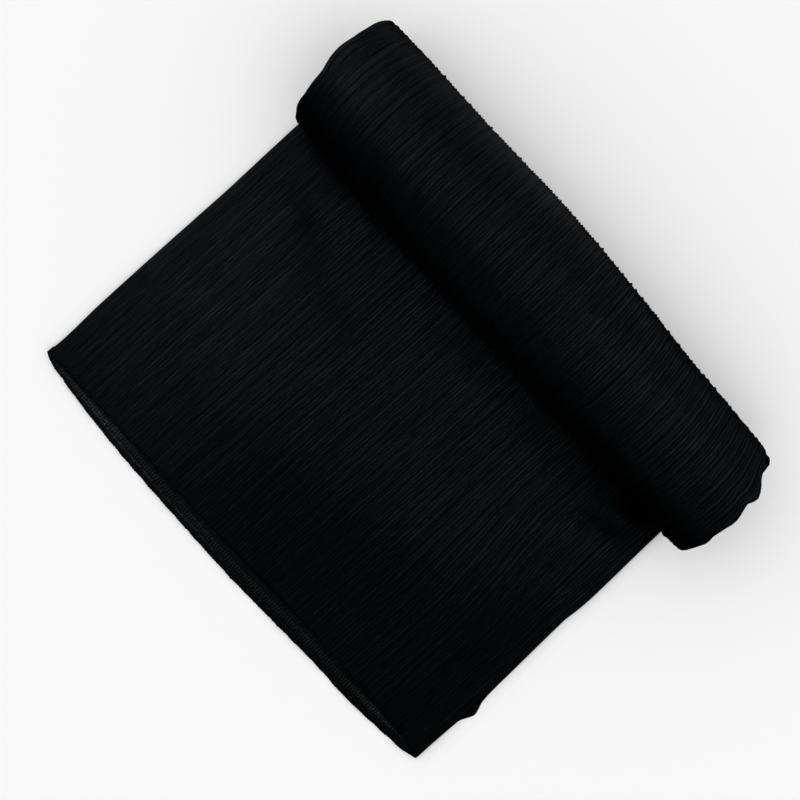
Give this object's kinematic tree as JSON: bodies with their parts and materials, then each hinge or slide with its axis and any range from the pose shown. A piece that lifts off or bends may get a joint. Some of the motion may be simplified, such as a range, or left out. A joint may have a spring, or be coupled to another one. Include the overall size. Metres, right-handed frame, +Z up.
{
  "type": "pleated satin scarf",
  "caption": "Long pleated satin scarf, folded in half along its length and rolled up, with its last stretch left lying flat as a flap.",
  "frame": {"origin": "under the middle of the scarf's bounding box, on the surface it lies on", "axes": "+X along the roll, from the fold to the two long hems; +Y along the pleats, from the flap's free end to the roll; +Z up"},
  "size_m": [0.3716, 0.313, 0.0691],
  "materials": {
    "black_satin": "pleated satin",
    "hem_thread": "sewn hem"
  },
  "bodies": {
    "root": {"flap": "black_satin", "end_hem": "hem_thread", "roll_outer_turn": "black_satin", "roll_core": "black_satin"}
  },
  "joints": []
}
